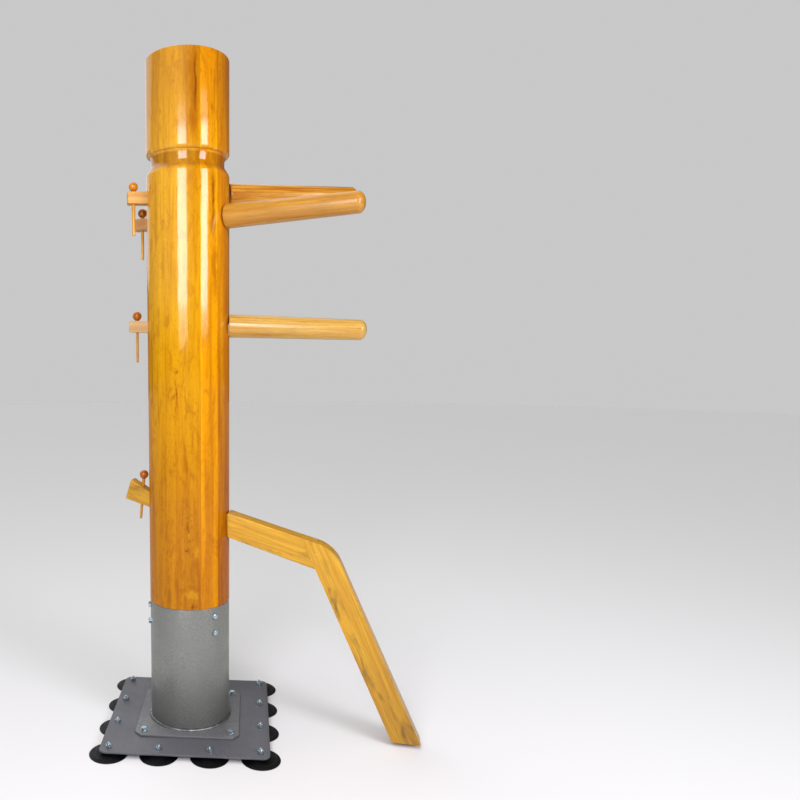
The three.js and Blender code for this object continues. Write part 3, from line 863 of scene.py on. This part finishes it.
def limb(side):
    """The place of a limb, with X along its tenon and the trunk's axis at its origin, and its box there."""
    node = "leg_thigh" if side == "leg" else "arm_" + side
    axis = joint_axis("leg_slide" if side == "leg" else side + "_arm_slide")
    level = along(axis, trunk_axis)
    low, _ = extent(node, level)
    foot, top = extent(node, level, lambda q: q.x < low.x + 1 * MM)
    if side == "leg":  # the tenon's back end is square, from its underside
        rise = foot.z + LEG_TENON_HEIGHT / 2 * MM
    else:
        rise = (foot.z + top.z) / 2
    height = rise / level.col[2].z
    place = along(axis, trunk_axis + UP * height)
    return place, extent(node, place)


LIMBS = {side: limb(side) for side in (*SIDES, "leg")}


def mortise(side):
    place, _ = LIMBS[side]
    wide, high = (LEG_TENON_WIDTH, LEG_TENON_HEIGHT) if side == "leg" else (TENON_WIDTH, TENON_HEIGHT)
    half = wide / 2 + MORTISE_SIDE
    low_corner = (-MORTISE_REACH, -half, -high / 2 - MORTISE_FOOT)
    hole = brick(low_corner, (MORTISE_REACH, half, high / 2 + MORTISE_HEAD))
    return moved(hole, trunk_place.inverted() @ place)


trunk_mesh = carved(lathe(trunk_profile(), 256), *[mortise(side) for side in LIMBS])
piece(trunk_mesh, TRUNK_WOOD, STAND, "trunk", trunk_place, 28)


# ---- Pegs ----
def peg_place(name):
    """A peg's place, with its ball's foot at the origin, its tip's radius and the length of its shaft."""
    axis = joint_axis(name + "_peg_lift")
    place = upright(axis, Vector())
    low, high = extent("peg_" + name, place)
    foot = Vector(((low.x + high.x) / 2, (low.y + high.y) / 2, high.z - 2 * PEG_BALL_RADIUS * MM))
    shaft = extent("peg_" + name, place, lambda q: q.z < low.z + 0.1 * MM)
    radius = (shaft[1].y - shaft[0].y) / 2 / MM + 1  # the tip's edge is cut off by 1
    return upright(axis, place @ foot), radius, (foot.z - low.z) / MM


def peg(tip_radius, length):
    ball = arc(0, PEG_BALL_RADIUS, PEG_BALL_RADIUS, PEG_BALL_RADIUS, -62, 90, 22)
    root = tip_radius + PEG_TAPER
    shaft = [(0, -length), (tip_radius * 0.6, -length, 1), (tip_radius, -length + 1.2, 1), (root, -1.2)]
    collar = [(root + 0.5, -0.4), (root + 1.1, 0.6)]
    return lathe(fillet(shaft) + collar + ball[:-1] + [(0, 2 * PEG_BALL_RADIUS)], 40)


def peg_hole(name, limb_place):
    place, tip_radius, _ = peg_place(name)
    radius = tip_radius + PEG_HOLE_ROOM
    hole = lathe([(0, PEG_HOLE_LOW), (radius, PEG_HOLE_LOW), (radius, PEG_HOLE_HIGH), (0, PEG_HOLE_HIGH)], 32)
    return moved(hole, limb_place.inverted() @ place)


for side in LIMBS:
    place, tip_radius, length = peg_place(side)
    body, node = side + "_peg", "peg_" + side
    piece(peg(tip_radius, length), PEG_WOODS[side], body, node, place, 40, len(side))


# ---- Arms ----
def arm_profile(reach):
    """An arm's round part, from its tip at reach back to its shoulder."""
    tip = [(y, x) for x, y in arc(reach - ARM_TIP_ROUNDING, 0, ARM_TIP_ROUNDING, ARM_TIP_RADIUS, 0, 90, 24)]
    front = (ARM_TIP_RADIUS + 0.02, reach - ARM_TIP_ROUNDING - 0.1)
    root = fillet([front, (ARM_ROOT_RADIUS, LIMB_SHOULDER, 3), (0, LIMB_SHOULDER)], 6)
    return [(0, reach)] + tip[1:-1] + root


def tenon(back, front, wide, high):
    block = brick((back, -wide / 2, -high / 2), (front, wide / 2, high / 2))
    return bevelled(block, TENON_EDGE, sharp)


for side in SIDES:
    place, (low, high) = LIMBS[side]
    body, node = side + "_arm", "arm_" + side
    round_low, round_high = extent(node, place, lambda q: q.x > (LIMB_SHOULDER + 1) * MM)
    lift = Matrix.Translation((0, 0, (round_low.z + round_high.z) / 2))
    shaft = moved(lathe(arm_profile(high.x / MM), 96), lift @ Matrix.Rotation(pi / 2, 4, "Y"))
    piece(shaft, ARM_WOODS[side], body, node, place, 40)
    square = carved(tenon(low.x / MM, LIMB_SHOULDER + 2, TENON_WIDTH, TENON_HEIGHT), peg_hole(side, place))
    piece(square, TENON_WOODS[side], body, node, place, 40, len(side), "tenon")

# ---- Leg ----
leg_place, _ = LIMBS["leg"]
level_way = ground(joint_axis("leg_slide")).normalized()
leg_side = UP.cross(level_way)
plane = frame_of(level_way, leg_side, UP, trunk_axis)  # X is the reach, Z the height


def standing(flat):
    """A (reach, height) as a vector of the leg's plane."""
    return Vector((flat.x, 0, flat.y))


board_half = max((plane.inverted() @ p).y for p in corners("leg_shin"))


def side_face(node):
    """The corners of a board's own side face, as (reach, height)."""
    local = [plane.inverted() @ p for p in corners(node)]
    return [Vector((q.x, q.z)) for q in local if abs(q.y - board_half) < 0.05 * MM]


thigh_face = side_face("leg_thigh")
knee_reach = max(q.x for q in thigh_face)
inner_knee = min((q for q in thigh_face if q.x > 0.6 * knee_reach), key=lambda q: q.y)
heel = min(side_face("leg_shin"), key=lambda q: q.x + q.y)
shin_way = (heel - inner_knee).normalized()
shin_front = Vector((-shin_way.y, shin_way.x))


def from_cad(node, place):
    """The CAD node's shape in place's frame, with its flat faces whole."""
    mesh = bmesh.new()
    mesh.from_mesh(frame["nodes"][node].data)
    bmesh.ops.remove_doubles(mesh, verts=mesh.verts, dist=0.01 * MM)
    bmesh.ops.dissolve_limit(
        mesh, angle_limit=radians(0.6), verts=mesh.verts, edges=mesh.edges, use_dissolve_boundaries=False
    )
    return moved(mesh, place.inverted())


def leg_board(node, place):
    """The thigh or the shin with its outer edges rounded, but not those of the knee's joint."""
    mesh = from_cad(node, place)
    back = plane.inverted() @ place
    if node == "leg_shin":  # the joint ends at the inner corner of the knee, and the free back edge starts
        origin = place.inverted() @ (plane @ standing(inner_knee))
        way = (place.inverted().to_3x3() @ (plane.to_3x3() @ standing(shin_way))).normalized()
        geometry = mesh.verts[:] + mesh.edges[:] + mesh.faces[:]
        bmesh.ops.bisect_plane(mesh, geom=geometry, plane_co=origin, plane_no=way)

    def ahead(vertex):
        """How far a vertex is in front of the knee joint, and how far down the shin's line."""
        q = back @ vertex.co
        flat = Vector((q.x, q.z)) - inner_knee
        return flat.dot(shin_front) / MM, flat.dot(shin_way) / MM

    def pick(edge):
        if not sharp(edge, 25) or edge.calc_length() < 4 * MM:
            return False
        (front_a, down_a), (front_b, down_b) = (ahead(v) for v in edge.verts)
        if node == "leg_thigh":
            return min(front_a, front_b) < -1
        on_joint = max(abs(front_a), abs(front_b)) < 1 and max(down_a, down_b) < 0.5
        deepest = max(abs((back @ v.co).y) for v in edge.verts)
        inside = min(front_a, front_b) > 1 and deepest < 0.9 * board_half
        return not on_joint and not inside

    return bevelled(mesh, LEG_EDGE, pick)


shin_axis = (plane.to_3x3() @ standing(shin_way)).normalized()
shin_place = along(shin_axis, plane @ standing(inner_knee))
thigh = leg_board("leg_thigh", leg_place)
piece(thigh, LEG_WOOD, "leg", "leg_thigh", leg_place, 25)
shin = leg_board("leg_shin", shin_place)
piece(shin, SHIN_WOOD, "leg", "leg_shin", shin_place, 25)

dowel_low, dowel_high = extent("knee_dowel", plane)
dowel_middle = plane @ ((dowel_low + dowel_high) / 2)
dowel_half = (dowel_high.y - dowel_low.y) / 2 / MM
dowel_radius = (dowel_high.x - dowel_low.x) / 2 / MM + DOWEL_ROOM
ends = [(0, -dowel_half), (dowel_radius, -dowel_half, 0.5), (dowel_radius, dowel_half, 0.5), (0, dowel_half)]
dowel_place = upright(leg_side, dowel_middle)
dowel = lathe(fillet(ends), 32)
piece(dowel, DOWEL_WOOD, "leg", "knee_dowel", dowel_place, 40)

# ---- Steel socket ----
tube_foot, tube_top = tube_low.z / MM, tube_high.z / MM
outer, bore = TUBE_RADIUS, TUBE_RADIUS - TUBE_WALL
wall = [
    (outer - 1, tube_foot),
    (bore + 1, tube_foot),
    (bore, tube_foot + 1),
    (bore, tube_top - 0.6),
    (bore + 0.6, tube_top),
    (outer - 1.4, tube_top),
    (outer - 0.4, tube_top - 0.4),
    (outer, tube_top - 1.4),
    (outer, tube_foot + 1),
]
tube_place = Matrix.Translation(trunk_axis)
tube = lathe(wall, 192, closed=True)
piece(tube, TUBE_PAINT, STAND, "socket_tube", tube_place, 50)


def weld_bead():
    """A fillet weld laid in overlapping ripples round the tube's foot."""
    facets, ripples = 960, 118
    low, _ = heights("weld_bead")
    inner = TUBE_RADIUS + 0.15
    rings = []
    for k, turn in enumerate(full_turn(facets)):
        where = Vector((cos(turn) * 3, sin(turn) * 3, 1.7))
        uneven = noise.noise(where) * 0.05 + noise.noise(where * 5) * 0.035
        ring = []
        for angle in range(0, 91, 15):
            rise = radians(angle)
            wave = (k / facets * ripples + 0.22 * sin(2 * rise)) % 1
            size = WELD_SIZE * (0.9 + uneven - 0.10 * (1 - sin(pi * wave)) ** 2)
            radius = inner + size * cos(rise)
            ring.append((radius * cos(turn), radius * sin(turn), low + size * sin(rise)))
        ring.append((inner * cos(turn), inner * sin(turn), low))
        rings.append(ring)
    mesh = loft(rings + rings[:1], cap=False)
    bmesh.ops.remove_doubles(mesh, verts=mesh.verts, dist=0.001 * MM)
    return mesh


piece(weld_bead(), WELD, STAND, "weld_bead", tube_place, 60)


# ---- Plate and flange ----
def rounded_square(width, corner, steps):
    """The outline, at any inset, of a square with round corners, or cut corners where steps is 1."""
    shrink = 1 if steps > 1 else tan(radians(22.5))

    def outline(inset):
        radius = max(corner - inset * shrink, 0.5)
        centre = width / 2 - inset - radius
        ring = []
        for turn in full_turn(4):
            for x, y in arc(centre, centre, radius, radius, 0, 90, steps):
                ring.append((x * cos(turn) - y * sin(turn), x * sin(turn) + y * cos(turn)))
        return ring

    return outline


diagonal = middle("cup_stud_12") - middle("cup_stud_1")  # between opposite corner cups
base_turn = atan2(diagonal.y, diagonal.x) - pi / 4
base_place = turned(trunk_axis, base_turn)


def base_slab(node, corner, steps):
    low, high = extent(node, base_place)
    outline = rounded_square((high.x - low.x) / MM, corner, steps)
    return slab(outline, low.z / MM, high.z / MM, PLATE_EDGE)


plate = base_slab("base_plate", PLATE_CORNER, 12)
piece(plate, PLATE_PAINT, STAND, "base_plate", base_place, 50)
flange = base_slab("socket_flange", FLANGE_CORNER, 1)
piece(flange, FLANGE_PAINT, STAND, "socket_flange", base_place, 50)


# ---- Suction cups and fasteners ----
def cup(radius, top):
    """A moulded cup: thin lip, dished skirt with two rings, and a boss."""
    outer = [
        (radius - 2.4, 0),
        (radius - 0.3, 0, 0.4),
        (radius, 0.9, 0.5),
        (radius - 1.2, 1.9, 0.7),
        (radius * 0.86, 2.7, 2),
        (radius * 0.83, 3.6, 0.6),
        (radius * 0.80, 3.4, 0.6),
        (radius * 0.62, 4.7, 3),
        (radius * 0.59, 5.6, 0.5),
        (radius * 0.56, 5.3, 0.5),
        (18.5, 7.4, 3),
        (16.2, 8.6, 1.5),
        (15, top, 0.8),
        (0, top),
    ]
    return lathe([(0, 3)] + fillet(outer, 3), 72)


nut_foot = heights("base_plate")[1] + SEAT
nut_top = nut_foot + NUT_HEIGHT
for i in range(1, 13):
    node = f"suction_cup_{i}"
    low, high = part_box(node)
    centre = ground(middle(node))
    shape = cup(min(high.x - low.x, high.y - low.y) / 2 / MM, high.z / MM)
    piece(shape, RUBBER, STAND, node, turned(centre, i * CUP_TURN), 40, i)
    node = f"cup_stud_{i}"
    foot, top = heights(node)
    stud = added(hexagon(nut_foot, nut_top), thread(nut_top - 0.5, top))
    stud = added(stud, rod(foot, nut_top - 1))
    piece(stud, ZINC, STAND, node, turned(centre, i * STUD_TURN), 30, i)


def washer(inner, outer, low, high):
    rim = [(inner, low), (outer, low), (outer, high - 0.25), (outer - 0.25, high), (inner + 0.2, high)]
    return lathe(rim + [(inner, high - 0.2)], 48, closed=True)


for i in range(1, 5):
    node = f"flange_washer_{i}"
    low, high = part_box(node)
    seat = high.z / MM
    place = turned(ground(middle(node)), i * WASHER_TURN)
    ring = washer(BOLT_RADIUS + 0.3, (high.x - low.x) / 2 / MM, low.z / MM, seat)
    piece(ring, ZINC, STAND, node, place, 40)
    node = f"flange_bolt_{i}"
    foot, top = heights(node)
    head = hexagon(seat + 0.05, top, chamfer_low=False)
    shank = moved(thread(-seat, -foot), Matrix.Rotation(pi, 4, "X"))
    piece(added(head, shank), ZINC, STAND, node, place, 30)
    node = f"flange_nut_{i}"
    piece(hexagon(*heights(node)), ZINC, STAND, node, place, 30)

for i in (1, 2, 3):
    for row, more in (("upper", UPPER_BOLT_TURN), ("lower", 0)):
        node = f"socket_bolt_{i}_{row}"
        points = corners(node)
        centre = sum(points, Vector()) / len(points)
        out = ground(centre - trunk_axis).normalized()
        axle = upright(out, Vector((trunk_axis.x, trunk_axis.y, centre.z)))
        low, high = extent(node, axle)
        head = hexagon(TUBE_RADIUS + 0.1, high.z / MM, chamfer_low=False)
        bolt = added(head, rod(low.z / MM, TUBE_RADIUS + 1))
        place = axle @ Matrix.Rotation(i * SOCKET_BOLT_TURN + more, 4, "Z")
        piece(bolt, ZINC, STAND, node, place, 30)


# ---- Studio ----
def floor_material():
    s = Shader("studio_floor")
    soft = s.noise(s.place, 1.5, 3, 0.5)
    s.set(Base_Color=s.mix(soft, srgb(213, 213, 213), srgb(218, 218, 218)), Roughness=0.9)
    return s.material


FLOOR_RADIUS = 14000
FLOOR_DROP = 0.4  # millimetres under the cups, so that no faces coincide
disc = lathe([(0, 0), (FLOOR_RADIUS / 5, 0), (FLOOR_RADIUS, 0)], 96)
for face in disc.faces:
    if face.normal.z < 0:
        face.normal_flip()
floor_data = bpy.data.meshes.new("floor")
disc.to_mesh(floor_data)
disc.free()
floor_data.materials.append(floor_material())
floor = put("floor", floor_data)
floor.location = (trunk_axis.x, trunk_axis.y, -FLOOR_DROP * MM)

# Camera, as fitted to the object's outline: to the dummy's right, a little above its waist
EYE = Vector((0.0974, -1.798, 0.9424))
HEADING = radians(8.4)  # of its view, from +Y towards -X
PITCH = radians(5.331)
ROLL = radians(-0.291)
camera_data = bpy.data.cameras.new("camera")
camera_data.sensor_width = 36
camera_data.lens = 32.43
camera_data.shift_x = 0.2635
camera_data.shift_y = 0.033
camera = put("camera", camera_data)
looking = Matrix.Rotation(HEADING, 4, "Z") @ Matrix.Rotation(pi / 2 - PITCH, 4, "X")
camera.matrix_world = Matrix.Translation(EYE) @ looking @ Matrix.Rotation(ROLL, 4, "Z")
scene.camera = camera


# Lights. A bearing is in degrees round the trunk from the camera's side, positive to the camera's right.
LIGHT_DISTANCE = 2.6
SUN_DISTANCE = 6
TINT = (1, 0.97, 1.04)  # of the softboxes
ROOM = 0.1  # how bright the room is for the object
BACKDROP = 0.58  # and for the camera


def toward(bearing):
    way = ground(EYE - trunk_axis).normalized()
    way.rotate(Matrix.Rotation(radians(bearing), 3, "Z"))
    return way


def lamp(name, data, energy, location, back):
    """Puts a light at location, shining away from back."""
    data.energy = energy
    made = put(name, data)
    made.location = location
    made.rotation_mode = "QUATERNION"
    made.rotation_quaternion = back.to_track_quat("Z", "Y")
    return made


def softbox(name, bearing, height, wide, high, power):
    """An upright area light, level with the point of the trunk's axis that it faces."""
    data = bpy.data.lights.new(name, "AREA")
    data.shape, data.size, data.size_y, data.color = "RECTANGLE", wide, high, TINT
    back = toward(bearing)
    lamp(name, data, power, trunk_axis + back * LIGHT_DISTANCE + UP * height, back)


def sun(name, bearing, elevation, strength, spread):
    """A soft light from far away. Elevation and spread are in degrees."""
    data = bpy.data.lights.new(name, "SUN")
    data.angle = radians(spread)
    rise = radians(elevation)
    back = toward(bearing) * cos(rise) + UP * sin(rise)
    return lamp(name, data, strength, back * SUN_DISTANCE, back)


# Two strips, each with dimmer ends so that its reflection fades: bearing, height, width, length, power
softbox("left_strip", -15.5, 1.69, 1.15, 0.96, 49)
softbox("left_strip_foot", -15.5, 1.09, 1.15, 0.24, 4.8)
softbox("left_strip_head", -15.5, 2.28, 1.15, 0.22, 2.4)
softbox("right_strip", 45, 1.71, 0.88, 1, 42)
softbox("right_strip_foot", 45, 1.12, 0.88, 0.18, 2.5)
softbox("right_strip_head", 45, 2.36, 0.88, 0.28, 2.2)
# Bearing, elevation, strength and spread. The key light makes no reflection of its own in the varnish.
sun("key_sun", -30, 75, 1.8, 50).visible_glossy = False
sun("rear_sun", -150, 40, 1, 70)

world = bpy.data.worlds.new("studio")
scene.world = world
world.use_nodes = True
tree = world.node_tree
sky = tree.nodes["Background"]
seen = tree.nodes.new("ShaderNodeLightPath")
strength = tree.nodes.new("ShaderNodeMapRange")
strength.inputs["To Min"].default_value = ROOM
strength.inputs["To Max"].default_value = BACKDROP
tree.links.new(seen.outputs["Is Camera Ray"], strength.inputs["Value"])
tree.links.new(strength.outputs["Result"], sky.inputs["Strength"])
sky.inputs["Color"].default_value = (1, 1, 1, 1)
scene.view_settings.view_transform = "Standard"
